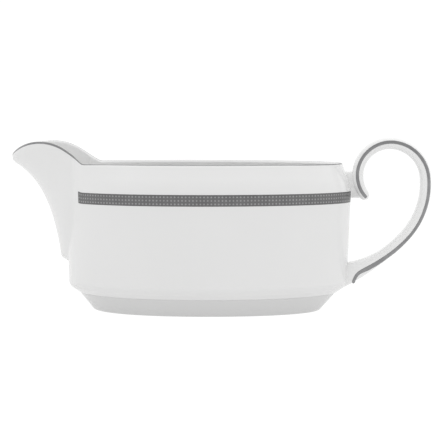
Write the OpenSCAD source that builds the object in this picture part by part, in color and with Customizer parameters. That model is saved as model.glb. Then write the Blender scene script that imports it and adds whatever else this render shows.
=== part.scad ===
// Sauce boat in glazed white china with platinum decoration.
// Origin on the table under the middle of the oval body, +Z up, spout towards -X, handle
// towards +X.

/* [Body] */
// Length of the oval body at its widest
body_len = 148.2; // [146:0.2:152]
// Width of the oval body at its widest
body_wid = 97; // [90:1:104]
// Squareness of the oval: 2 is an ellipse, more is squarer
oval_power = 2.08; // [2:0.02:2.3]
// Egg shape of the oval: share by which it is wider at the spout's end than in the middle
egg = 0.09; // [0:0.01:0.12]
// Height of the level rim above the table
rim_h = 75.6; // [74:0.1:77]
// Thickness of the china wall
wall = 2.9; // [2.4:0.1:3.2]
// Height of the crease below the plain collar at the rim
crease_h = 69.5; // [68.5:0.5:70]
// Radius of the rounded lower corner of the wall
corner_r = 4.6; // [3.8:0.2:5.4]

/* [Foot] */
// Height of the tapered foot ring
foot_h = 9.1; // [8.6:0.1:9.6]
// Distance that the foot's base stands in from the widest oval
foot_inset = 15.2; // [14:0.1:16.5]
// Distance that the foot's base stands towards the spout from the middle of the oval
foot_shift = 0.8; // [0:0.1:1.5]
// Width of the flat tread that the boat stands on
tread_w = 4.2; // [3:0.1:5]

/* [Spout] */
// Distance from the boat's centre to the tip of the spout
spout_reach = 102; // [100:0.1:103.5]
// Half-width of the spout where it leaves the body
spout_half_w = 23; // [22:0.5:25]
// Radius of the arched lip seen from the side, between its crest and the body
lip_arch_r = 24.5; // [24:0.5:26]
// Radius of the arched lip between its crest and the tip
lip_tip_r = 27; // [26:0.5:29]
// Height of the arched lip at its crest
crest_h = 86.6; // [85.6:0.2:87.6]
// Thickness of the spout's wall
spout_wall = 2.7; // [2.4:0.1:3]

/* [Handle] */
// Thickness of the handle's strap seen from the side
strap_t = 6; // [5:0.1:7]
// Width of the handle's strap
strap_w = 9; // [7:0.5:11]
// Width of the lug that joins the scroll to the body
lug_w = 6.4; // [5:0.2:7.5]

/* [Platinum] */
// Thickness that each platinum layer stands proud of the glaze
layer_t = 0.25; // [0.2:0.05:0.4]
// Height of the patterned band
band_h = 5.6; // [4:0.1:7]
// Height of the band's lower edge above the table
band_z = 55.9; // [53:0.1:58]
// Height of the line along the rim
rim_line_h = 1.0; // [0.7:0.1:1.2]
// Width of the line along each side of the handle
handle_line_w = 1.4; // [1:0.1:1.8]

/* [Hidden] */

china = "white";
platinum = "silver";

// Resolution of the ovals, of the spout's plan and of the strap's outline
oval_sides = 72;
spout_sides = 22;
strap_sides = 16;

body_a = body_len / 2;
body_b = body_wid / 2;

// ---- curves ----

function lerp(a, b, t) = a + (b - a) * t;
function bezier2(a, b, c, t) = lerp(lerp(a, b, t), lerp(b, c, t), t);
function bezier3(a, b, c, d, t) = lerp(bezier2(a, b, c, t), bezier2(b, c, d, t), t);
function bend(a, b, c, steps) = [for (i = [0:steps]) bezier2(a, b, c, i / steps)];
function arc(centre, r, from, to, steps) =
    [for (i = [0:steps]) let (t = lerp(from, to, i / steps)) centre + r * [cos(t), sin(t)]];

// Superellipse with half-lengths a and b, wider towards the spout, as a closed list of [x, y]
function oval(a, b) = [
    for (i = [0:oval_sides - 1])
        let (
            t = 360 * i / oval_sides,
            p = 2 / oval_power,
            x = sign(cos(t)) * pow(abs(cos(t)), p),
            y = sign(sin(t)) * pow(abs(sin(t)), p)
        )
        [a * x, b * y * (1 - egg * x)]
];

// Shift towards the spout at height z, which fades out up to the wall's lower corner
function shift_x(z) = -foot_shift * max(0, 1 - z / corner_z);

// The body's oval, moved in from its widest line by inset, at height z
function body_ring(inset, z) =
    [for (p = oval(body_a - inset, body_b - inset)) [p.x + shift_x(z), p.y, z]];

// ---- solids from rings ----

// Closed solid through a list of rings with equal numbers of points, listed from bottom to top.
// Each end is closed by strips between points that mirror each other across the XZ plane.
module loft(rings) {
    n = len(rings[0]);
    top = (len(rings) - 1) * n;
    half = floor(n / 2);
    sides = [
        for (k = [0:len(rings) - 2], i = [0:n - 1])
            let (j = (i + 1) % n, a = k * n + i, b = k * n + j)
            each [[a, a + n, b + n], [a, b + n, b]]
    ];
    caps = [
        for (i = [0:half - 1])
            let (j = i + 1, u = (n - i) % n, v = n - j)
            each [
                if (v != j) each [[i, j, v], [top + i, top + v, top + j]],
                if (u != i) each [[i, v, u], [top + i, top + u, top + v]]
            ]
    ];
    polyhedron(points = [for (r = rings) each r], faces = concat(sides, caps));
}

// Solid of the body's oval through a profile of [inset, z], listed from bottom to top
module oval_solid(profile) {
    loft([for (p = profile) body_ring(p[0], p[1])]);
}

// ---- the body's profiles, as [inset, z] ----

wall_inset = 1.5;
corner_z = 15.5;
widest_z = 58.5;
belly_z = 64.5;
shoulder_inset = 7.4;
// The shoulder under the rounded corner slopes in towards the foot, this far from upright
shoulder_slope = 56;
crease_inset = 2.1;
lip_inset = 4.1;
lip_top_inset = 5.3;

outer_corner = arc([wall_inset + corner_r, corner_z], corner_r, 180 + shoulder_slope, 180, 5);
outer_wall = bend([wall_inset, corner_z + 1], [0.95, 38.5], [0, widest_z], 4);
outer_belly = bend([0, widest_z], [-0.25, belly_z], [crease_inset, crease_h], 4);
outer_profile = concat(
    [[shoulder_inset, foot_h]],
    outer_corner,
    outer_wall,
    [for (i = [1:4]) outer_belly[i]],
    [[lip_inset, rim_h - 1.3], [lip_inset + 0.3, rim_h - 0.5], [lip_top_inset, rim_h]]
);

floor_t = 3.6;
inner_r = 7;
// The floor dips by this much in the middle, where it is a small oval this wide
floor_dip = 0.4;
floor_middle = 12;
inner_corner = arc(
    [wall_inset + wall + inner_r, foot_h + floor_t + inner_r], inner_r, 270, 180, 6
);
inner_wall = bend(
    [wall_inset + wall, foot_h + floor_t + inner_r + 1], [0.95 + wall, 40.5], [wall, widest_z], 3
);
inner_profile = concat(
    [[body_b - floor_middle, foot_h + floor_t - floor_dip]],
    inner_corner,
    inner_wall,
    [
        [wall + 0.3, belly_z + 1],
        [lip_inset + wall, rim_h - 2],
        [lip_inset + wall - 0.5, rim_h - 0.5],
        [lip_top_inset + 0.3, rim_h],
        [lip_top_inset + 0.3, rim_h + 1]
    ]
);

// Inset of the body's outer surface at height z
function skin_inset(z) = lookup(z, [for (p = outer_profile) [p[1], p[0]]]);

module body_outside() {
    oval_solid(outer_profile);
}

module body_inside() {
    oval_solid(inner_profile);
}

// ---- the spout ----

// The spout is a stack of U-shaped levels. Its keel runs down from the tip to the body, and its
// lip is arched, so the upper levels rise and fall with the arch.
spout_root_x = -62;
spout_back_x = -46;
arch_x = -83.8;
lip_blend = 8;
lip_edge = 3.8;
nose_z = 23.9;
nose_x = -72.8;
full_width_z = 56.5;
spout_levels = 11;

// Height of the lip at x: an arch that flows into the level rim
function lip_z(x) =
    let (
        r = x < arch_x ? lip_tip_r : lip_arch_r,
        d = min(abs(x - arch_x), r),
        arch = crest_h - r + sqrt(r * r - d * d),
        overlap = max(0, lip_blend - abs(arch - rim_h))
    )
    max(rim_h, arch) + overlap * overlap / (4 * lip_blend);

// The tip ends in a blunt edge, lip_edge high, above the start of the keel
tip = [-spout_reach, lip_z(-spout_reach)];
keel = [tip + [0.3, -lip_edge], [-87.2, 67.9], [-80, 51], [-77, 28.5]];
keel_end = [keel[3], [-76.8, nose_z + 1.4], [nose_x, nose_z]];

// Half-width of the level at height z, narrowing to a rounded nose at the bottom
function spout_w(z) =
    let (d = max(0, full_width_z - z) / (full_width_z - nose_z + 0.3))
    spout_half_w * sqrt(max(0.02, 1 - d * d));

// One level: a half oval from the root round the keel, closed straight across at the back.
// inset moves it in by the wall, sheer is how much of the lip's arch it follows.
function spout_ring(k, inset, sheer, lift = 0) =
    let (
        reach = spout_root_x - k.x - inset,
        w = spout_w(k.y) - inset,
        half = [
            for (i = [0:spout_sides])
                let (t = 90 * i / spout_sides)
                [spout_root_x - reach * cos(t), w * sin(t)]
        ],
        plan = concat(
            [for (p = half) [p.x, -p.y]],
            [[spout_back_x, -w], [spout_back_x, w]],
            [for (i = [0:spout_sides - 1]) half[spout_sides - i]]
        )
    )
    [
        for (p = plan)
            let (near_keel = max(0, (spout_root_x - p.x) / reach), rise = lip_z(p.x) - tip.y)
            [p.x, p.y, k.y + sheer * (rise - pow(near_keel, 3) * (lip_z(k.x) - tip.y)) + lift]
    ];

function keel_point(t) = bezier3(keel[0], keel[1], keel[2], keel[3], t);

// Levels of the spout's outside from the nose up to the lip
function spout_outside_rings(grow = 0) = concat(
    [for (i = [0:3]) spout_ring(bezier2(keel_end[2], keel_end[1], keel_end[0], i / 4), -grow, 0)],
    [
        for (i = [0:spout_levels])
            let (t = 1 - i / spout_levels)
            spout_ring(keel_point(t), -grow, pow(1 - t, 2))
    ],
    [spout_ring(tip, -grow, 1)]
);

// The trough's floor lies this much above the outside's levels, and more at its inner end
trough_lift = 1.6;
trough_end_lift = 2.5;
// The cut of the trough ends this much above the lip
trough_above = 15;

// Levels of the trough, which runs through the body's wall and out above the lip
trough_rings = concat(
    [
        for (i = [0:spout_levels])
            let (
                t = 1 - i / spout_levels,
                lift = trough_lift * min(1, 8 * t) + trough_end_lift * pow(t, 3)
            )
            spout_ring(keel_point(t), spout_wall, pow(1 - t, 2), lift)
    ],
    [for (lift = [0, trough_above]) spout_ring(tip, spout_wall, 1, lift)]
);

// The spout's walls run on into the bowl by this much behind the root
root_overlap = 3.5;

// Space behind the spout's root, where the ends of its walls would stand inside the bowl
module behind_spout() {
    translate([spout_root_x + root_overlap, -body_b, nose_z])
        cube([body_b, body_wid, crest_h]);
}

module spout_outside(grow = 0) {
    loft(spout_outside_rings(grow));
}

module trough() {
    loft(trough_rings);
}

// ---- the handle ----

// The strap's middle line is a chain of arcs that all turn the same way: [radius, degrees]
strap_start = [69, 18.7];
strap_heading = 15;
strap_arcs = [[66, 34], [39.6, 46.5], [18.6, 72], [16.3, 150]];
strap_step = 5;
// Squareness of the strap's outline
strap_power = 3.2;

function turn(p, heading, r, angle) =
    p + r * [sin(heading + angle) - sin(heading), cos(heading) - cos(heading + angle)];

// Points [x, z, heading] along the chain of arcs, starting with the k-th
function chain(p, heading, k = 0) =
    k == len(strap_arcs)
        ? [[p.x, p.y, heading]]
        : let (
            r = strap_arcs[k][0],
            a = strap_arcs[k][1],
            steps = max(2, round(a * r / 180 * PI / strap_step))
        )
        concat(
            [
                for (i = [0:steps - 1])
                    let (d = a * i / steps, q = turn(p, heading, r, d))
                    [q.x, q.y, heading + d]
            ],
            chain(turn(p, heading, r, a), heading + a, k + 1)
        );

strap_line = chain(strap_start, strap_heading);
strap_last = len(strap_line) - 1;

// The strap thickens and drops into a pad where it meets the body, and thins at the scroll's tip
pad_steps = 5;
pad_extra_t = 6.5;
pad_drop = 0.6;
tip_thinner = 0.8;

// Share of the pad's shape at the i-th section
function pad(i) = pow(max(0, 1 - i / pad_steps), 1.5);

function strap_thick(i) = strap_t + pad_extra_t * pad(i) - (i == strap_last ? tip_thinner : 0);

// Offset across the strap's side view: d outwards from the middle line, y across the width
function strap_point(i, d, y) =
    let (p = strap_line[i])
    [p.x + d * sin(p[2]), y, p.y - d * cos(p[2]) - pad_drop * pad(i)];

function strap_section(i, shrink = 1) = [
    for (j = [0:strap_sides - 1])
        let (t = 360 * j / strap_sides, c = cos(t), s = sin(t), p = 2 / strap_power)
        strap_point(
            i,
            shrink * strap_thick(i) / 2 * sign(c) * pow(abs(c), p),
            shrink * strap_w / 2 * sign(s) * pow(abs(s), p)
        )
];

// The scroll's rounded end: a smaller section a little further on
tip_shrink = 0.6;
tip_length = 1.1;
tip_heading = strap_line[strap_last][2];
tip_round = [
    for (p = strap_section(strap_last, tip_shrink))
        p + tip_length * [cos(tip_heading), 0, sin(tip_heading)]
];

module strap() {
    loft(concat([for (i = [0:strap_last]) strap_section(i)], [tip_round]));
}

// ---- one module per piece ----

module bowl() {
    color(china)
    difference() {
        body_outside();
        body_inside();
        trough();
    }
}

module spout() {
    color(china)
    difference() {
        spout_outside();
        trough();
        body_outside();
        behind_spout();
    }
}

// The recess under the boat is narrower at the top by this much on each side
recess_draft = 1.2;

module foot_ring() {
    tread_h = 0.8;
    recess_inset = foot_inset + tread_w;
    top_inset = recess_inset + recess_draft;
    slope = (foot_inset - shoulder_inset) / foot_h;
    outer_edge = foot_inset - slope * tread_h;
    color(china)
    union() {
        translate([shift_x(tread_h), 0, 0])
            linear_extrude(tread_h)
                difference() {
                    polygon(oval(body_a - outer_edge, body_b - outer_edge));
                    polygon(oval(body_a - recess_inset, body_b - recess_inset));
                }
        difference() {
            oval_solid([[outer_edge, tread_h], [shoulder_inset, foot_h]]);
            oval_solid([
                [recess_inset, tread_h - 1],
                [recess_inset, tread_h],
                [top_inset, foot_h],
                [top_inset, foot_h + 1]
            ]);
        }
    }
}

module handle_strap() {
    color(china)
    difference() {
        strap();
        body_outside();
    }
}

// Side outline of the lug as [x, z]
lug_outline = [
    [70, 57.7], [79.5, 57.7], [79.8, 61.5], [76.5, 66.5], [77.2, 73], [75.8, 71.9], [70, 71.6]
];

module handle_lug() {
    color(china)
    difference() {
        rotate([90, 0, 0])
            linear_extrude(lug_w, center = true)
                polygon(lug_outline);
        body_outside();
        strap();
    }
}

// Stretch of the body's skin between two heights, standing proud of it by layer_t
module body_skin(from_z, to_z) {
    difference() {
        oval_solid([
            [skin_inset(from_z) - layer_t, from_z],
            for (p = outer_profile) if (p[1] > from_z && p[1] < to_z) [p[0] - layer_t, p[1]],
            [skin_inset(to_z) - layer_t, to_z]
        ]);
        body_outside();
    }
}

rim_line_top = rim_h - 0.4;

module rim_line() {
    color(platinum)
    difference() {
        body_skin(rim_line_top - rim_line_h, rim_line_top);
        spout_outside(grow = layer_t);
    }
}

// Depth of the line's upper edge below the lip
lip_line_drop = 0.3;

module spout_lip_line() {
    rings = spout_outside_rings(grow = layer_t);
    last = len(rings) - 1;
    color(platinum)
    difference() {
        loft([
            for (drop = [lip_line_drop + rim_line_h, lip_line_drop])
                lerp(rings[last], rings[last - 1], drop / lip_edge)
        ]);
        spout_outside();
        trough();
        body_outside();
        behind_spout();
    }
}

band_end_x = -62.5;
band_gap = 0.2;

// Half of the patterned band: side is -1 towards -Y and 1 towards +Y
module band(side) {
    gap = lug_w / 2 + band_gap;
    color(platinum)
    intersection() {
        body_skin(band_z, band_z + band_h);
        translate([band_end_x, side > 0 ? gap : -gap - body_b, band_z - 1])
            cube([body_len, body_b, band_h + 2]);
    }
}

module band_left() {
    band(-1);
}

module band_right() {
    band(1);
}

// Distance of the line's middle outwards from the strap's middle line: nearest to the outer edge
// on the back of the loop, and on the middle line at the scroll's tip
line_out = 1.2;
line_out_back = 0.8;

function line_offset(i) =
    let (s = i / strap_last)
    line_out * (1 - pow(s, 1.5)) + line_out_back * sin(180 * min(1, s * 1.25));

// Half-width of the strap's rounded outline at distance d from its middle line
function strap_side(i, d) =
    strap_w / 2 * pow(1 - pow(min(0.98, abs(2 * d / strap_thick(i))), strap_power), 1 / strap_power);

// The line's inner faces lie this deep inside the strap
line_depth = 1;

module handle_line(side) {
    half = handle_line_w / 2;
    color(platinum)
    difference() {
        loft([
            for (i = [2:strap_last])
                let (
                    d = line_offset(i),
                    y0 = strap_side(i, d - half),
                    y1 = strap_side(i, d + half),
                    section = [
                        [d + half, y1 - line_depth],
                        [d + half, y1 + layer_t],
                        [d - half, y0 + layer_t],
                        [d - half, y0 - line_depth]
                    ]
                )
                [
                    for (k = [0:3])
                        let (q = section[side > 0 ? k : 3 - k])
                        strap_point(i, q.x, side * q.y)
                ]
        ]);
        strap();
        body_outside();
    }
}

module handle_line_left() {
    handle_line(-1);
}

module handle_line_right() {
    handle_line(1);
}

bowl();
spout();
foot_ring();
handle_strap();
handle_lug();
rim_line();
spout_lip_line();
band_left();
band_right();
handle_line_left();
handle_line_right();
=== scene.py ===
import math

import bpy
import numpy as np
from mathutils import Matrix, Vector


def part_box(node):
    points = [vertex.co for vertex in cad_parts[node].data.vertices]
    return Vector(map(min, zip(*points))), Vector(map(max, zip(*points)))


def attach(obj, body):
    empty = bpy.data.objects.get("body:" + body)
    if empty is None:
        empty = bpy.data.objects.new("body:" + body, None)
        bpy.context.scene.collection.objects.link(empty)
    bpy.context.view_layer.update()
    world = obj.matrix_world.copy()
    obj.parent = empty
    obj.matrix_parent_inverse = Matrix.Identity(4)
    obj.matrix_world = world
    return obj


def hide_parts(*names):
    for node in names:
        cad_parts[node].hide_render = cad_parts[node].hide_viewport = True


# Sauce boat in glazed white china with platinum decoration. Lengths are in millimetres in the
# shapes below, and MM turns them into the scene's metres. Angles round the body are measured from
# the handle's side, so the spout is at 180 degrees.

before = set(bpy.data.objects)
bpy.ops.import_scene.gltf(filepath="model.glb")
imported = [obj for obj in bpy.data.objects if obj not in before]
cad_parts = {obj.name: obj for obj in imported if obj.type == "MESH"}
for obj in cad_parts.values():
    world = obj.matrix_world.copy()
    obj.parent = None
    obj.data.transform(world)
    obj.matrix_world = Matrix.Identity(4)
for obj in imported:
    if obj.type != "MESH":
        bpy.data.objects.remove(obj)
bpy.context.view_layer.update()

MM = 0.001


def box_mm(node):
    lo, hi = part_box(node)
    return np.array(lo) / MM, np.array(hi) / MM


bowl_lo, bowl_hi = box_mm("bowl")
spout_lo, spout_hi = box_mm("spout")
foot_hi = box_mm("foot_ring")[1]
strap_lo, strap_hi = box_mm("handle_strap")
lug_lo, lug_hi = box_mm("handle_lug")
band_lo, band_hi = box_mm("band_left")

# ---------------------------------------------------------------- the body's dimensions

# Half length and half width of the body at its widest level
BODY_A = (bowl_hi[0] - bowl_lo[0]) / 2
BODY_B = 48.5
# How square the oval is, and how much fuller its spout end is than its handle end
OVAL_POWER = 2.08
EGG = 0.09
RIM_H = bowl_hi[2]
WIDEST_Z = 58.5
CREASE_H = 69.5
LIP_ROUND = 1.3
# The wall's distance in from the widest oval, at some levels
WALL_INSET = 1.5
CREASE_INSET = 2.1
LIP_INSET = 4.1
# Rounded lower corner of the wall, and the shoulder from there in to the foot
CORNER_R = 4.6
CORNER_Z = 15.5
SHOULDER_SLOPE = 56
SHOULDER_INSET = 7.4
FOOT_H = foot_hi[2]
FOOT_SHIFT = 0.8
# Inside the bowl
WALL = 2.9
INNER_R = 7.0
FLOOR_H = FOOT_H + 3.6
FLOOR_DIP = 0.4
# The underside of the floor rises by this much to its middle
UNDER_RISE = 0.8

# ---------------------------------------------------------------- the spout's dimensions

# Arch of the lip: its crest, and its radius on the body's side and on the tip's side
CREST_H = spout_hi[2]
ARCH_X = -83.8
ARCH_R = 24.5
ARCH_TIP_R = 27.0
ARCH_BLEND = 8.0
# The spout is a half oval in plan in front of ROOT_X, with straight sides behind it
ROOT_X = -62.0
SPOUT_W = 23.0
FULL_W_Z = 56.5
SPOUT_WALL = 2.7
# Height of the blunt edge at the tip, and the spout's lowest point
LIP_EDGE = 3.8
NOSE = np.array([-72.8, 23.9])
# The spout is cut from the bowl above this level and within this angle of its middle
SPOUT_CUT_Z = 21.5
SPOUT_CUT_ANGLE = math.radians(24)
# Widths of the blend between the spout and the body: low down, at the rim, and the least
SPOUT_BLEND = 10.0
LIP_SPOUT_BLEND = 6.0
LEAST_BLEND = 1.5
# The collar's lean fades out between these angles from the spout's middle
LEAN_FADE = (math.radians(20), math.radians(48))

# Columns of vertices round the body
COLUMNS = 360


# ---------------------------------------------------------------- curves


def bezier(points, t):
    """Points of a bezier curve of any degree, for an array of t."""
    points = [np.asarray(p, float) for p in points]
    t = np.asarray(t, float)[..., None]
    while len(points) > 1:
        points = [a + (b - a) * t for a, b in zip(points, points[1:])]
    return points[0]


def curve(points, steps):
    return bezier(points, np.linspace(0, 1, steps + 1))


def arc(centre, r, start, end, steps):
    """Points along an arc, with its angles in degrees."""
    a = np.radians(np.linspace(start, end, steps + 1))
    return np.array(centre) + r * np.stack([np.cos(a), np.sin(a)], -1)


def smooth(a, b, x):
    t = np.clip((x - a) / (b - a), 0, 1)
    return t * t * (3 - 2 * t)


def smooth_max(a, b, k):
    """Larger of a and b, with the corner between them rounded over k."""
    h = np.maximum(0, k - np.abs(a - b))
    return np.maximum(a, b) + h * h / (4 * k)


def lip_z(x):
    """Height of the lip at x: the spout's arch, which flows into the level rim."""
    r = np.where(x < ARCH_X, ARCH_TIP_R, ARCH_R)
    d = np.minimum(np.abs(x - ARCH_X), r)
    return smooth_max(RIM_H, CREST_H - r + np.sqrt(r * r - d * d), ARCH_BLEND)


TIP = np.array([spout_lo[0], lip_z(spout_lo[0])])
# The keel's curve from under the tip down to the nose, and the rounded nose itself, as [x, z]
KEEL = [TIP + [0.3, -LIP_EDGE], [-86.5, 67.9], [-79.3, 51], [-76.8, 28.5]]
KEEL_END = [KEEL[3], [-76.8, NOSE[1] + 1.4], NOSE]


# ---------------------------------------------------------------- the casting's skin


def oval_radius(theta, inset):
    """Distance from the axis to the body's egg-shaped oval, moved in by inset. The egg's width
    depends on x, so x is found by repeating the same step."""
    a, b = BODY_A - inset, BODY_B - inset
    c, s = np.cos(theta), np.sin(theta)
    x = c
    for _ in range(12):
        across = np.abs(s / (b * (1 - EGG * x)))
        r = (np.abs(c / a) ** OVAL_POWER + across ** OVAL_POWER) ** (-1 / OVAL_POWER)
        x = r * c / a
    return r


def shift_x(z):
    """Shift along x, towards the spout, of the levels under the wall's lower corner."""
    return -FOOT_SHIFT * np.maximum(0, 1 - z / CORNER_Z)


def keel_table():
    """The keel from the nose up to the tip: each point's level, its t on the main curve, itself."""
    t = np.linspace(0, 1, 400)
    keel = bezier(KEEL, t)
    edge = bezier([TIP, KEEL[0]], t)
    nose = bezier(KEEL_END, t)
    main_level = keel[:, 1] + (1 - t) ** 2 * (RIM_H - TIP[1])
    level = np.concatenate([RIM_H - LIP_EDGE * t, main_level, nose[:, 1]])
    along = np.concatenate([0 * t, t, 0 * t + 1])
    points = np.concatenate([edge, keel, nose])
    return level[::-1], along[::-1], points[::-1]


KEEL_LEVEL, KEEL_ALONG, KEEL_POINTS = keel_table()


def spout_radius(theta, keel_x, half_w, inset):
    """Distance from the axis to the spout's half oval, moved in by inset, or to its side walls."""
    c, s = np.cos(theta), np.abs(np.sin(theta)) + 1e-9
    reach = ROOT_X - keel_x - inset
    w = half_w - inset
    qa = (c / reach) ** 2 + (s / w) ** 2
    qb = -2 * ROOT_X * c / reach ** 2
    qc = (ROOT_X / reach) ** 2 - 1
    root = qb * qb - 4 * qa * qc
    oval = (-qb + np.sqrt(np.maximum(0, root))) / (2 * qa)
    on_oval = (root > 0) & (oval * c <= ROOT_X)
    return np.where(c < 0, np.where(on_oval, oval, w / s), 0)


def skin(theta, inset, z, wall=0.0):
    """Points of the casting's skin at angles theta on the level z of the body, where the body's
    oval is moved in by inset. With wall, they lie on the inner skin, and the spout's outline is
    moved in by that much. Near the spout a level follows the arch of its lip."""
    along = np.interp(z, KEEL_LEVEL, KEEL_ALONG)
    keel_x = np.interp(z, KEEL_LEVEL, KEEL_POINTS[:, 0])
    keel_z = np.interp(z, KEEL_LEVEL, KEEL_POINTS[:, 1])
    narrow = np.maximum(0, FULL_W_Z - keel_z) / (FULL_W_Z - NOSE[1] + 0.3)
    half_w = SPOUT_W * np.sqrt(np.maximum(0.02, 1 - narrow ** 2))
    lean = np.interp(z, OUTER[:, 1], OUTER[:, 0]) if z > WIDEST_Z else 0
    upright = smooth(LEAN_FADE[0], LEAN_FADE[1], np.abs(np.mod(theta, 2 * np.pi) - np.pi))
    body = oval_radius(theta, inset - lean * (1 - upright))
    spout = spout_radius(theta, keel_x, half_w, wall)
    # Just above its nose the spout draws back a little, and below it there is none
    spout = spout - 2 * (1 - smooth(NOSE[1] - 1, NOSE[1] + 3, z))
    spout = np.where(z > NOSE[1] - 1, spout, 0)
    stands_out = -keel_x - (BODY_A - inset + wall)
    most = SPOUT_BLEND + (LIP_SPOUT_BLEND - SPOUT_BLEND) * smooth(60, RIM_H, z)
    r = smooth_max(body, spout, np.clip(0.85 * stands_out, LEAST_BLEND, most))
    x = r * np.cos(theta) + shift_x(z)
    y = r * np.sin(theta)
    # The level bends up to the lip's arch, and down again at the keel, which has its own curve
    near_keel = np.clip((ROOT_X - x) / (ROOT_X - keel_x - wall), 0, 1)
    sheer = (1 - along) ** 2
    up = z + sheer * (lip_z(x) - RIM_H - near_keel ** 3 * (lip_z(keel_x) - TIP[1]))
    if wall:
        # The channel's floor lies higher than the keel under it
        lift = 1.6 * np.minimum(1, 8 * along) + 2.5 * along ** 3
        up = up + lift * smooth(0, 1, near_keel)
    return np.stack(np.broadcast_arrays(x, y, up), -1)


# The outer skin's profile as [inset, z], from the shoulder above the foot up to the lip
CORNER = arc([WALL_INSET + CORNER_R, CORNER_Z], CORNER_R, 180 + SHOULDER_SLOPE, 180, 12)
OUTER = np.concatenate([
    curve([[SHOULDER_INSET, FOOT_H], CORNER[0]], 4)[:4],
    CORNER,
    curve([[WALL_INSET, CORNER_Z + 1], [0.95, 38.5], [0, WIDEST_Z]], 40),
    curve([[0, WIDEST_Z], [-0.25, 64.5], [CREASE_INSET, CREASE_H]], 10)[1:],
    curve([[CREASE_INSET, CREASE_H], [LIP_INSET, RIM_H - LIP_ROUND]], 5)[1:],
])


def outer_inset(z):
    """The wall's distance in from the widest oval at level z."""
    return np.interp(z, OUTER[:, 1], OUTER[:, 0])


def outside(theta, z, proud=0.0):
    """Points on the outer skin at level z, standing proud of it sideways."""
    p = skin(theta, outer_inset(z), z)
    flat = p * [1, 1, 0]
    return p + proud * flat / np.linalg.norm(flat, axis=-1, keepdims=True)


def lip(theta, around, grow=0.0):
    """Points on the rounded lip, at angles around it from 0 outside to 180 inside."""
    outer = skin(theta, LIP_INSET, RIM_H - LIP_ROUND)
    inner = skin(theta, LIP_INSET + WALL, RIM_H - LIP_ROUND, SPOUT_WALL)
    out = (outer - inner)[..., :2]
    around = np.radians(around) + 0 * np.asarray(theta)[..., None]
    c, s = np.cos(around), np.sin(around)
    half = np.linalg.norm(out, axis=-1, keepdims=True) / 2
    middle = (outer + inner)[..., :2] / 2
    xy = middle + out / (2 * half) * (half + grow) * c
    z = RIM_H - LIP_ROUND + (LIP_ROUND + grow) * s + lip_z(xy[..., :1]) - RIM_H
    return np.concatenate([xy, z], -1)


def even_angles(count):
    """Angles from the handle round to the spout and back, evenly spaced along the rim."""
    fine = np.linspace(0, np.pi, 4000)
    p = outside(fine, RIM_H - 8)[:, :2]
    length = np.concatenate([[0], np.cumsum(np.linalg.norm(np.diff(p, axis=0), axis=1))])
    half = np.interp(np.linspace(0, length[-1], count // 2 + 1), length, fine)
    return np.concatenate([half, 2 * np.pi - half[-2:0:-1]])


# ---------------------------------------------------------------- meshes


def new_piece(name, verts, faces, normals=None, flat_faces=0):
    """Object from vertices in millimetres, smooth but for its last flat_faces faces. normals are
    the vertex normals of the smooth faces, for a piece that continues in another one."""
    mesh = bpy.data.meshes.new(name)
    mesh.from_pydata((np.asarray(verts) * MM).tolist(), [], faces)
    smooth_faces = len(faces) - flat_faces
    mesh.polygons.foreach_set("use_smooth", [i < smooth_faces for i in range(len(faces))])
    mesh.update()
    if normals is not None:
        loops = []
        for face in mesh.polygons:
            whole = face.index < smooth_faces
            loops += [normals[v] if whole else tuple(face.normal) for v in face.vertices]
        mesh.normals_split_custom_set(loops)
    obj = bpy.data.objects.new(name, mesh)
    bpy.context.scene.collection.objects.link(obj)
    return obj


def tube_faces(rings, points, closed=False):
    """Quads of a tube through rings of points. Each ring is a closed loop, and the tube joins
    up into a ring itself when closed."""
    faces = []
    for k in range(rings if closed else rings - 1):
        a, b = k * points, (k + 1) % rings * points
        for i in range(points):
            j = (i + 1) % points
            faces.append((a + i, a + j, b + j, b + i))
    return faces


def strip_cap(start, points, up):
    """Quads that close a ring of points, between vertices opposite each other."""
    faces = []
    for i in range(points // 2):
        quad = [start + i, start + i + 1, start + (points - i - 1), start + (points - i) % points]
        quad = list(dict.fromkeys(quad))
        faces.append(tuple(quad if up else quad[::-1]))
    return faces


def loft(name, rings, closed=False):
    """Closed piece through a list of rings with equal numbers of points."""
    count, points = len(rings), len(rings[0])
    faces = tube_faces(count, points, closed)
    if not closed:
        faces += strip_cap(0, points, False) + strip_cap((count - 1) * points, points, True)
    return new_piece(name, np.concatenate(rings), faces)


# ---------------------------------------------------------------- body and spout


def disc(edge, steps, rise):
    """Rings from a level edge to its middle, which lies higher by rise."""
    rings = []
    for f in np.linspace(1, 0, steps + 1)[1:-1]:
        ring = edge * [f, f, 1]
        ring[:, 2] += rise * (1 - f * f)
        rings.append(ring)
    return rings


def casting_rings(theta):
    """Rings of the whole casting: its underside from the middle out, the outer skin up to the lip,
    the inner skin down to the floor and in to the middle. With them come the numbers of the first
    and the last ring that the spout's piece reaches."""
    upper = OUTER[OUTER[:, 1] > SPOUT_CUT_Z]
    lower = OUTER[OUTER[:, 1] <= SPOUT_CUT_Z]
    under = disc(skin(theta, lower[0, 0], lower[0, 1]), 9, UNDER_RISE)
    outer = [skin(theta, p[0], p[1]) for p in np.concatenate([lower, upper])]
    top = [lip(theta, a) for a in np.linspace(0, 180, 15)[1:-1]]
    inner = [skin(theta, p[0] + WALL, p[1], SPOUT_WALL) for p in upper[::-1]]
    corner = arc([WALL_INSET + WALL + INNER_R, FLOOR_H + INNER_R], INNER_R, 180, 270, 12)
    inner += [skin(theta, p[0], p[1], SPOUT_WALL) for p in corner]
    floor = disc(inner[-1], 9, -FLOOR_DIP)
    cut = len(under) + len(lower)
    return under[::-1] + outer + top + inner + floor, cut, cut + 2 * len(upper) + len(top) - 1


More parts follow.
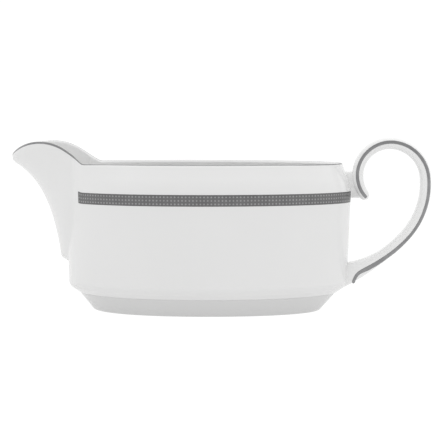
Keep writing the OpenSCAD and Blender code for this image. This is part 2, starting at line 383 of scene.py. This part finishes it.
def make_casting():
    """The bowl and the spout, cut apart behind the spout's root, with shared vertex normals so
    that the skin flows on from one to the other."""
    theta = even_angles(COLUMNS)
    rings, first, last = casting_rings(theta)
    count = len(rings)
    middle = np.mean(rings[0], axis=0), np.mean(rings[-1], axis=0)
    verts = np.concatenate(rings + [[middle[0]], [middle[1]]])
    in_spout = np.abs(theta - np.pi) < SPOUT_CUT_ANGLE
    edge = np.flatnonzero(in_spout)
    c0, c1 = edge[0], edge[-1]

    def v(k, i):
        return k * COLUMNS + i % COLUMNS

    bowl, spout = [], []
    for k in range(count - 1):
        for i in range(COLUMNS):
            face = (v(k, i), v(k, i + 1), v(k + 1, i + 1), v(k + 1, i))
            (spout if first <= k < last and c0 <= i < c1 else bowl).append(face)
    for i in range(COLUMNS):
        bowl.append((count * COLUMNS, v(0, i + 1), v(0, i)))
        bowl.append((count * COLUMNS + 1, v(count - 1, i), v(count - 1, i + 1)))

    cut = [(v(first, i), v(first, i + 1), v(last, i + 1), v(last, i)) for i in range(c0, c1)]
    for k in range((last - first) // 2):
        lo, hi = first + k, last - k
        levels = list(dict.fromkeys((lo + 1, hi - 1, hi, lo)))
        cut.append(tuple(v(level, c0) for level in levels[::-1]))
        cut.append(tuple(v(level, c1) for level in levels))

    normals = vertex_normals(verts, bowl + spout)
    made = []
    for name, faces, closing in (("bowl_shell", bowl, cut), ("spout_shell", spout, cut)):
        if name == "spout_shell":
            closing = [f[::-1] for f in cut]
        used = sorted({i for f in faces + closing for i in f})
        place = {old: new for new, old in enumerate(used)}
        moved = [tuple(place[i] for i in f) for f in faces + closing]
        made.append(new_piece(name, verts[used], moved, normals[used].tolist(), len(closing)))
    return made


def vertex_normals(verts, faces):
    """Area-weighted vertex normals of quads and triangles."""
    total = np.zeros_like(verts)
    for size in (3, 4):
        f = np.array([face for face in faces if len(face) == size])
        normal = np.cross(verts[f[:, 2]] - verts[f[:, 0]], verts[f[:, -1]] - verts[f[:, 1]])
        if size == 3:
            normal = np.cross(verts[f[:, 1]] - verts[f[:, 0]], verts[f[:, 2]] - verts[f[:, 0]])
        for corner in range(size):
            np.add.at(total, f[:, corner], normal)
    return total / np.linalg.norm(total, axis=1, keepdims=True)


bowl_shell, spout_shell = make_casting()


# ---------------------------------------------------------------- foot

# The tread's outer edge stands in from the widest oval by this much
FOOT_INSET = 15.2
TREAD_W = 4.2
# The ring's top is hidden inside the shoulder
FOOT_ROOT = (6.4, 10.3)


def body_ring(theta, inset, z):
    """Level ring that follows the body's oval, moved in by inset."""
    r = oval_radius(theta, inset)
    return np.stack([r * np.cos(theta) + shift_x(z), r * np.sin(theta), 0 * theta + z], -1)


def make_foot():
    """Tapered ring that runs up into the body, with a rounded tread and a fillet inside."""
    theta = even_angles(COLUMNS)
    back = FOOT_INSET + TREAD_W
    profile = np.concatenate([
        curve([FOOT_ROOT, [7.9, 8.5], [9.2, 7.0]], 6),
        curve([[9.2, 7.0], [14.2, 1.1]], 6)[1:],
        curve([[14.2, 1.1], [15.0, 0.05], [15.9, 0.0]], 5)[1:],
        curve([[15.9, 0.0], [back - 0.9, 0.0]], 3)[1:],
        curve([[back - 0.9, 0.0], [back, 0.0], [back + 0.15, 1.0]], 4)[1:],
        curve([[back + 0.15, 1.0], [back + 0.8, 5.8]], 3)[1:],
        curve([[back + 0.8, 5.8], [back + 1.2, 8.0], [back + 3.2, 8.35]], 5)[1:],
        curve([[back + 3.2, FOOT_ROOT[1]], FOOT_ROOT], 5)[1:-1],
    ])
    return loft("foot", [body_ring(theta, p[0], p[1]) for p in profile][::-1], closed=True)


foot = make_foot()


# ---------------------------------------------------------------- handle

# The strap's middle line starts here inside the body, and climbs at this many degrees
STRAP_START = np.array([69, 18.7])
STRAP_HEADING = 15.0
# It goes on in arcs of these radii and degrees
STRAP_ARCS = [(66, 34), (39.6, 46.5), (18.6, 72), (16.3, 150)]
STRAP_T = 5.9
STRAP_W = strap_hi[1] - strap_lo[1]
# How square the strap's section is
STRAP_POWER = 2.8
STRAP_STEP = 1.2
# Vertices round the sections of the strap and the lug
HANDLE_SIDES = 40
# The pad at the body: its length, how much thicker and wider it gets, and how far it sags
PAD_LENGTH = 25.0
PAD_EXTRA = 6.5
PAD_EXTRA_W = 3.5
PAD_DROP = 0.6
# The scroll gets slimmer by this share over its last stretch, and ends in a dome
SCROLL_SLIM = 0.1
SCROLL_STRETCH = 14
DOME_LENGTH = 3.0
# The first stretch of the strap is kept from reaching deeper than this into the body
SEAT_LENGTH = 12
STRAP_SEAT = 1.4
LUG_SEAT = 1.6
# The lug's top at the body, how far it climbs to the scroll, and how much slimmer its middle is
LUG_TOP = 71.3
LUG_RISE = 1.4
LUG_WAIST = 0.5


def strap_line():
    """The strap's middle line as x, z, heading in radians and length so far."""
    x, z = STRAP_START
    heading = math.radians(STRAP_HEADING)
    rows, length = [], 0.0
    for r, degrees in STRAP_ARCS:
        turn = math.radians(degrees)
        steps = round(turn * r / STRAP_STEP)
        for i in range(steps):
            a = heading + turn * i / steps
            rows.append([
                x + r * (math.sin(a) - math.sin(heading)),
                z + r * (math.cos(heading) - math.cos(a)),
                a,
                length + r * turn * i / steps,
            ])
        x += r * (math.sin(heading + turn) - math.sin(heading))
        z += r * (math.cos(heading) - math.cos(heading + turn))
        heading += turn
        length += r * turn
    rows.append([x, z, heading, length])
    return np.array(rows)


LINE = strap_line()
STRAP_LENGTH = LINE[-1, 3]


def line_at(s):
    """The middle line's x, z and heading at length s."""
    return [np.interp(s, LINE[:, 3], LINE[:, i]) for i in range(3)]


def strap_size(s):
    """Thickness and width of the strap at length s: a pad at the body, a rounded scroll's tip."""
    pad = np.maximum(0, 1 - s / PAD_LENGTH)
    end = np.clip((STRAP_LENGTH - s) / DOME_LENGTH, 0, 1)
    dome = np.sqrt(np.maximum(0.02, 1 - (1 - end) ** 2.4))
    slim = 1 - SCROLL_SLIM * smooth(STRAP_LENGTH - SCROLL_STRETCH, STRAP_LENGTH, s)
    thick = (STRAP_T * slim + PAD_EXTRA * pad ** 1.5) * dome
    return thick, (STRAP_W + PAD_EXTRA_W * pad ** 2) * dome


def strap_point(s, d, y):
    """Point at length s, d outwards from the middle line and y across."""
    x, z, a = line_at(s)
    z = z - PAD_DROP * np.maximum(0, 1 - s / PAD_LENGTH) ** 1.5
    return np.stack(np.broadcast_arrays(x + d * np.sin(a), y, z - d * np.cos(a)), -1)


def signed_power(values, power):
    """Values raised to a power with their signs kept, which squares up a circle."""
    return np.sign(values) * np.abs(values) ** power


def around_circle(sides):
    """Evenly spaced angles round a full turn."""
    return 2 * np.pi * np.arange(sides) / sides


def strap_ring(s):
    """The strap's rounded rectangular section at length s."""
    t = around_circle(HANDLE_SIDES)
    power = 2 / STRAP_POWER
    thick, width = strap_size(s)
    across = width / 2 * signed_power(np.sin(t), power)
    return strap_point(s, thick / 2 * signed_power(np.cos(t), power), across)


def seat_on_body(points, depth):
    """Points moved along the boat so that none lies deeper than depth inside the body's skin."""
    theta = np.arctan2(points[:, 1], points[:, 0])
    r = oval_radius(theta, outer_inset(np.clip(points[:, 2], FOOT_H, RIM_H)) + depth)
    limit = r * np.cos(theta)
    seated = points.copy()
    seated[:, 0] = np.maximum(points[:, 0], limit)
    return seated


def make_strap():
    """The handle's loop with its pad and its scroll, as one piece."""
    rings = []
    for s in LINE[:, 3]:
        ring = strap_ring(s)
        rings.append(seat_on_body(ring, STRAP_SEAT) if s < SEAT_LENGTH else ring)
    return loft("handle_loop", rings)


def make_lug():
    """Short bridge from the body to the scroll, which flares out at both ends."""
    rings = []
    x0, x1 = bowl_hi[0] - 4.5, lug_hi[0] - 0.6
    bottom = lug_lo[2] + 0.1
    t = around_circle(HANDLE_SIDES)
    for f in np.linspace(0, 1, 15):
        flare = (2 * f - 1) ** 2
        top = LUG_TOP + LUG_RISE * f ** 3
        half_y = (lug_hi[1] - lug_lo[1]) / 2 - LUG_WAIST * (1 - flare ** 1.5)
        y = half_y * signed_power(np.cos(t), 0.62)
        z = (top + bottom) / 2 + (top - bottom) / 2 * signed_power(np.sin(t), 0.5)
        rings.append(np.stack([0 * t + x0 + f * (x1 - x0), y, z], -1))
    rings[0] = seat_on_body(rings[0], LUG_SEAT)
    return loft("handle_bridge", [r[::-1] for r in rings][::-1])


handle_loop = make_strap()
handle_bridge = make_lug()


# ---------------------------------------------------------------- platinum

# The films stand proud of the glaze by LAYER, and their backs are sunk into it
LAYER = 0.06
SUNK = 0.12
# The rim's line covers the lip between these angles, measured from its outer side up. Its start
# comes lower at the two ends of the boat and over the spout.
RIM_LINE_START = 60
RIM_LINE_END = 98
LOWER_AT_ENDS = 20
LOWER_ON_SPOUT = 28


def make_rim_lines():
    """The line over the outer half of the lip, split where the spout begins."""
    theta = even_angles(COLUMNS)
    in_spout = np.abs(theta - np.pi) < SPOUT_CUT_ANGLE
    edge = np.flatnonzero(in_spout)
    spout_cols = np.arange(edge[0], edge[-1] + 1)
    rim_cols = np.arange(edge[-1], edge[0] + 1 + COLUMNS) % COLUMNS
    made = []
    for name, cols in (("rim_platinum", rim_cols), ("lip_platinum", spout_cols)):
        from_spout = np.abs(theta[cols] - np.pi)
        at_ends = 1 - smooth(0.4, 0.7, from_spout) + smooth(2.3, 2.9, from_spout)
        on_spout = 1 - smooth(0.3, 0.42, from_spout)
        start = RIM_LINE_START - LOWER_AT_ENDS * at_ends - LOWER_ON_SPOUT * on_spout
        start = start[:, None]
        share = np.linspace(0, 1, 9)
        top = [lip(theta[cols], start + (RIM_LINE_END - start) * f, LAYER) for f in share]
        back = [lip(theta[cols], start + (RIM_LINE_END - start) * f, -SUNK) for f in share[::-2]]
        rings = np.swapaxes(np.array(top + back), 0, 1)
        made.append(loft(name, list(rings)[::-1]))
    return made


rim_platinum, lip_platinum = make_rim_lines()

BAND_END_X = band_lo[0]
BAND_BOTTOM, BAND_TOP = band_lo[2], band_hi[2]
BAND_MIDDLE = (BAND_BOTTOM + BAND_TOP) / 2
BAND_RINGS = 150
# The bands keep this far from the lug's sides
LUG_GAP = 0.2
DOT_PITCH = 1.78
DOT_ROW = 1.7
DOT_R = 0.45
DOT_SIDES = 8
# Least distances of the first and the last dots' middles from the band's ends
DOT_MARGIN = 0.95
DOT_LAST_MARGIN = 0.25
# Each dot's dome, as shares of its radius and heights above the wall
DOT_RINGS = [(1, -0.1), (1, 0.08), (0.8, 0.13), (0.45, 0.16)]


def band_path(side):
    """Angles from the lug to the spout's end of the band, with the length along it."""
    fine = np.linspace(0.02, np.pi - 0.2, 4000)
    p = outside(fine, BAND_MIDDLE)
    keep = (p[:, 0] > BAND_END_X) & (p[:, 1] > (lug_hi[1] - lug_lo[1]) / 2 + LUG_GAP)
    fine, p = fine[keep], p[keep]
    length = np.concatenate([[0], np.cumsum(np.linalg.norm(np.diff(p, axis=0), axis=1))])
    return side * fine, length


def make_band(side, name):
    """The band's dark film on one side of the boat."""
    angle, length = band_path(side)
    rings = []
    for s in np.linspace(0, length[-1], BAND_RINGS):
        theta = np.interp(s, length, angle)
        z = np.linspace(BAND_BOTTOM, BAND_TOP, 7)
        front = [outside(theta, h, LAYER) for h in z]
        back = [outside(theta, h, -SUNK) for h in z[::-2]]
        rings.append(np.array(front + back))
    return loft(name, rings if side < 0 else [r[::-1] for r in rings])


def make_dots(side, name):
    """Three rows of small domes along the band."""
    angle, length = band_path(side)
    count = int((length[-1] - DOT_MARGIN - DOT_LAST_MARGIN) / DOT_PITCH) + 1
    turn = around_circle(DOT_SIDES)
    side_faces = tube_faces(len(DOT_RINGS), DOT_SIDES)
    verts, faces = [], []
    for i in range(count):
        s = length[-1] - DOT_MARGIN - i * DOT_PITCH
        theta = np.interp(s, length, angle)
        ahead = outside(theta + 0.002, WIDEST_Z) - outside(theta - 0.002, WIDEST_Z)
        tangent = ahead / np.linalg.norm(ahead)
        out = np.cross(tangent, [0, 0, 1])
        for row in (-1, 0, 1):
            centre = outside(theta, BAND_MIDDLE + row * DOT_ROW)
            start = len(verts)
            for share, height in DOT_RINGS:
                for a in turn:
                    flat = tangent * math.cos(a) + np.array([0, 0, 1]) * math.sin(a)
                    verts.append(centre + flat * DOT_R * share + out * height)
            faces += [tuple(start + v for v in face) for face in side_faces]
            top = start + (len(DOT_RINGS) - 1) * DOT_SIDES
            faces.append(tuple(start + k for k in range(DOT_SIDES))[::-1])
            faces.append(tuple(top + k for k in range(DOT_SIDES)))
    return new_piece(name, verts, faces)


# Half the width of the line along the handle
LINE_HALF_W = 0.82
# It is wider by this share along the lower part of the handle
LINE_EXTRA = 0.35
# It runs from this length along the strap to this far from the end
LINE_START = 4.1
LINE_STOP = 0.5


def line_offset(s):
    """Distance of the platinum line outwards from the strap's middle line. At the pad the line
    turns outwards, down to the pad's lower corner."""
    f = s / STRAP_LENGTH
    foot_turn = 4.0 * np.clip(1 - (s - 4.6) / 7, 0, 1) ** 3
    return 1.2 * (1 - f ** 1.5) + 0.8 * np.sin(np.pi * np.minimum(1, f * 1.25)) + foot_turn


def strap_side(s, d):
    """Half-width of the strap's outline at distance d from its middle line."""
    thick, width = strap_size(s)
    share = np.minimum(0.98, np.abs(2 * d / thick))
    return width / 2 * (1 - share ** STRAP_POWER) ** (1 / STRAP_POWER)


def make_handle_line(side, name):
    """Line along one side of the strap, from the pad's lower corner to the scroll's tip."""
    fine_steps = np.arange(LINE_START, 9, 0.3)
    s = np.concatenate([fine_steps, np.arange(9, STRAP_LENGTH - LINE_STOP, STRAP_STEP)])
    d = line_offset(s)
    slope = np.gradient(d, s)
    ahead = np.sqrt(1 + slope ** 2)
    rings = []
    for k in range(len(s)):
        rounded = min(1, (k + 0.5) / 3, (STRAP_LENGTH - 0.4 - s[k]) / 1.5)
        wider = 1 + LINE_EXTRA * smooth(8, 14, s[k]) * (1 - smooth(18, 45, s[k]))
        half = LINE_HALF_W * wider * math.sqrt(max(0.02, 1 - (1 - rounded) ** 2))
        across = np.linspace(half, -half, 7)
        at_s = s[k] - across * slope[k] / ahead[k]
        at_d = d[k] + across / ahead[k]
        front = strap_point(at_s, at_d, side * (strap_side(at_s, at_d) + LAYER))
        deep = side * (strap_side(at_s, at_d) - SUNK)
        rings.append(np.concatenate([front, strap_point(at_s, at_d, deep)[::-2]]))
    return loft(name, rings if side > 0 else [r[::-1] for r in rings])


band_platinum_left = make_band(-1, "band_platinum_left")
band_platinum_right = make_band(1, "band_platinum_right")
band_dots_left = make_dots(-1, "band_dots_left")
band_dots_right = make_dots(1, "band_dots_right")
handle_platinum_left = make_handle_line(-1, "handle_platinum_left")
handle_platinum_right = make_handle_line(1, "handle_platinum_right")


# ---------------------------------------------------------------- materials


def new_material(name):
    """A material, its shader and links, and the makers of the nodes that go into it."""
    material = bpy.data.materials.new(name)
    material.use_nodes = True
    nodes, links = material.node_tree.nodes, material.node_tree.links
    shader = nodes["Principled BSDF"]
    where = nodes.new("ShaderNodeTexCoord")

    def noise(scale, detail=2.0):
        node = nodes.new("ShaderNodeTexNoise")
        node.inputs["Scale"].default_value = scale
        node.inputs["Detail"].default_value = detail
        links.new(where.outputs["Object"], node.inputs["Vector"])
        return node.outputs["Fac"]

    def ramp(value, low, high):
        """A colour between low and high, driven by value."""
        node = nodes.new("ShaderNodeValToRGB")
        node.color_ramp.elements[0].position = 0.3
        node.color_ramp.elements[1].position = 0.7
        node.color_ramp.elements[0].color = (*low, 1)
        node.color_ramp.elements[1].color = (*high, 1)
        links.new(value, node.inputs["Fac"])
        return node.outputs["Color"]

    def span(value, low, high):
        node = nodes.new("ShaderNodeMapRange")
        node.inputs["To Min"].default_value = low
        node.inputs["To Max"].default_value = high
        links.new(value, node.inputs["Value"])
        return node.outputs["Result"]

    def bump(value, strength, distance_mm, under=None):
        node = nodes.new("ShaderNodeBump")
        node.inputs["Strength"].default_value = strength
        node.inputs["Distance"].default_value = distance_mm * MM
        links.new(value, node.inputs["Height"])
        if under is not None:
            links.new(under, node.inputs["Normal"])
        return node.outputs["Normal"]

    return material, shader, links, noise, ramp, span, bump


def make_china(name, low, high):
    """White china under a clear, slightly wavy glaze."""
    material, shader, links, noise, ramp, span, bump = new_material(name)
    links.new(ramp(noise(18, 3), low, high), shader.inputs["Base Color"])
    links.new(span(noise(60, 4), 0.10, 0.17), shader.inputs["Roughness"])
    waves = bump(noise(45, 1), 0.25, 0.05)
    links.new(bump(noise(900, 2), 0.12, 0.01, waves), shader.inputs["Normal"])
    shader.inputs["IOR"].default_value = 1.5
    shader.inputs["Coat Weight"].default_value = 0.3
    shader.inputs["Coat Roughness"].default_value = 0.05
    return material


def make_platinum(name, low, high, rough):
    """Fired platinum: a thin metal film with a burnished grain."""
    material, shader, links, noise, ramp, span, bump = new_material(name)
    links.new(ramp(noise(300, 3), low, high), shader.inputs["Base Color"])
    links.new(span(noise(500, 3), rough - 0.06, rough + 0.06), shader.inputs["Roughness"])
    links.new(bump(noise(1500, 2), 0.2, 0.01), shader.inputs["Normal"])
    shader.inputs["Metallic"].default_value = 1.0
    return material


china = make_china("glazed_china", (0.795, 0.795, 0.792), (0.812, 0.812, 0.81))
# The handle's china is painted lighter than the body's. This is a painted highlight, standing for
# the brighter light that falls on the handle.
lit_handle_china = make_china("glazed_china_handle_painted_light", (0.84, 0.84, 0.837), (0.86, 0.86, 0.858))
# The foot ring's china is painted darker than the body's. This is painted shade, standing for the
# shade that falls on the foot under the body.
shaded_foot_china = make_china("glazed_china_foot_painted_shade", (0.68, 0.68, 0.677), (0.695, 0.695, 0.693))
platinum = make_platinum("platinum", (0.26, 0.26, 0.265), (0.32, 0.32, 0.325), 0.3)
platinum_band = make_platinum("platinum_band", (0.17, 0.17, 0.172), (0.2, 0.2, 0.202), 0.4)
platinum_dots = make_platinum("platinum_dots", (0.32, 0.32, 0.32), (0.38, 0.38, 0.38), 0.3)

# Each piece with its material, its slot and the CAD nodes that it stands for
PIECES = [
    (bowl_shell, china, "china", ["bowl"]),
    (spout_shell, china, "china", ["spout"]),
    # The foot takes the china that is painted darker with shade
    (foot, shaded_foot_china, "china", ["foot_ring"]),
    # The handle's loop and bridge take the china that is painted lighter with light
    (handle_loop, lit_handle_china, "china", ["handle_strap"]),
    (handle_bridge, lit_handle_china, "china", ["handle_lug"]),
    (rim_platinum, platinum, "platinum", ["rim_line"]),
    (lip_platinum, platinum, "platinum", ["spout_lip_line"]),
    (band_platinum_left, platinum_band, "platinum_band", ["band_left"]),
    (band_platinum_right, platinum_band, "platinum_band", ["band_right"]),
    (band_dots_left, platinum_dots, "platinum", []),
    (band_dots_right, platinum_dots, "platinum", []),
    (handle_platinum_left, platinum, "platinum", ["handle_line_left"]),
    (handle_platinum_right, platinum, "platinum", ["handle_line_right"]),
]
for piece, material, slot, nodes in PIECES:
    piece.data.materials.append(material)
    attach(piece, "root")
    if nodes:
        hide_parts(*nodes)


# ---------------------------------------------------------------- stage, light and camera


def make_floor():
    """Large round floor just under the foot's tread. The camera sees it nearly white, and it
    lights the boat more weakly from below."""
    steps = 96
    a = around_circle(steps)
    rings = []
    for r in (6000, 1500, 400, 100):
        rings.append(np.stack([r * np.cos(a), r * np.sin(a), 0 * a - 0.02], -1))
    faces = tube_faces(len(rings), steps) + strip_cap((len(rings) - 1) * steps, steps, True)
    floor = new_piece("floor", np.concatenate(rings), faces)
    material = bpy.data.materials.new("pale_floor")
    material.use_nodes = True
    nodes, links = material.node_tree.nodes, material.node_tree.links
    shader = nodes["Principled BSDF"]
    shader.inputs["Base Color"].default_value = (0.3, 0.3, 0.3, 1)
    shader.inputs["Roughness"].default_value = 0.9
    shader.inputs["Specular IOR Level"].default_value = 0.1
    shader.inputs["Emission Color"].default_value = (1, 1, 1, 1)
    shader.inputs["Emission Strength"].default_value = 0.6
    seen = nodes.new("ShaderNodeEmission")
    seen.inputs["Strength"].default_value = 1.1
    path = nodes.new("ShaderNodeLightPath")
    share = nodes.new("ShaderNodeMath")
    share.operation = "MULTIPLY"
    share.inputs[1].default_value = 0.8
    links.new(path.outputs["Is Camera Ray"], share.inputs[0])
    mix = nodes.new("ShaderNodeMixShader")
    links.new(share.outputs[0], mix.inputs["Fac"])
    links.new(shader.outputs[0], mix.inputs[1])
    links.new(seen.outputs[0], mix.inputs[2])
    links.new(mix.outputs[0], nodes["Material Output"].inputs["Surface"])
    floor.data.materials.append(material)


def make_world(backdrop, front, back, sides):
    """Seen by the camera the surroundings are a white backdrop. They light the boat softly: less
    from the front than from behind, and with some more from the left and right."""
    world = bpy.data.worlds.new("studio")
    bpy.context.scene.world = world
    world.use_nodes = True
    nodes, links = world.node_tree.nodes, world.node_tree.links
    where = nodes.new("ShaderNodeTexCoord")
    split = nodes.new("ShaderNodeSeparateXYZ")
    links.new(where.outputs["Generated"], split.inputs["Vector"])
    depth = nodes.new("ShaderNodeMapRange")
    depth.inputs["From Min"].default_value = -1
    depth.inputs["To Min"].default_value = front
    depth.inputs["To Max"].default_value = back
    links.new(split.outputs["Y"], depth.inputs["Value"])
    square = nodes.new("ShaderNodeMath")
    square.operation = "MULTIPLY"
    links.new(split.outputs["X"], square.inputs[0])
    links.new(split.outputs["X"], square.inputs[1])
    total = nodes.new("ShaderNodeMath")
    total.operation = "MULTIPLY_ADD"
    total.inputs[1].default_value = sides
    links.new(square.outputs[0], total.inputs[0])
    links.new(depth.outputs["Result"], total.inputs[2])
    light = nodes["Background"]
    light.inputs["Color"].default_value = (1, 1, 1, 1)
    links.new(total.outputs[0], light.inputs["Strength"])
    seen = nodes.new("ShaderNodeBackground")
    seen.inputs["Color"].default_value = (1, 1, 1, 1)
    seen.inputs["Strength"].default_value = backdrop
    path = nodes.new("ShaderNodeLightPath")
    mix = nodes.new("ShaderNodeMixShader")
    links.new(path.outputs["Is Camera Ray"], mix.inputs["Fac"])
    links.new(light.outputs[0], mix.inputs[1])
    links.new(seen.outputs[0], mix.inputs[2])
    links.new(mix.outputs[0], nodes["World Output"].inputs["Surface"])


def make_overhead_light(spread, strength):
    """Very wide light from straight above, spread over this many degrees."""
    lamp = bpy.data.lights.new("overhead_softbox", "SUN")
    lamp.angle = math.radians(spread)
    lamp.energy = strength
    obj = bpy.data.objects.new("overhead_softbox", lamp)
    obj.visible_glossy = False
    bpy.context.scene.collection.objects.link(obj)


def make_camera():
    """Long lens a little above the rim, in front of the boat's side and turned slightly."""
    turn = math.radians(4.8)
    tilt = math.radians(4.115)
    distance, height, aside = 763, 100.86, 6.29
    forward = Vector((-math.sin(turn), math.cos(turn), 0))
    right = Vector((math.cos(turn), math.sin(turn), 0))
    place = right * aside - forward * distance + Vector((0, 0, height))
    look = forward * math.cos(tilt) - Vector((0, 0, math.sin(tilt)))
    data = bpy.data.cameras.new("camera")
    data.sensor_width = 36
    data.lens = 121.1
    camera = bpy.data.objects.new("camera", data)
    camera.location = place * MM
    camera.rotation_euler = look.to_track_quat("-Z", "Y").to_euler()
    bpy.context.scene.collection.objects.link(camera)
    bpy.context.scene.camera = camera


make_floor()
make_world(backdrop=1.05, front=0.735, back=1.0, sides=0.15)
make_overhead_light(spread=80, strength=0.85)
make_camera()
bpy.context.scene.view_settings.view_transform = "Standard"
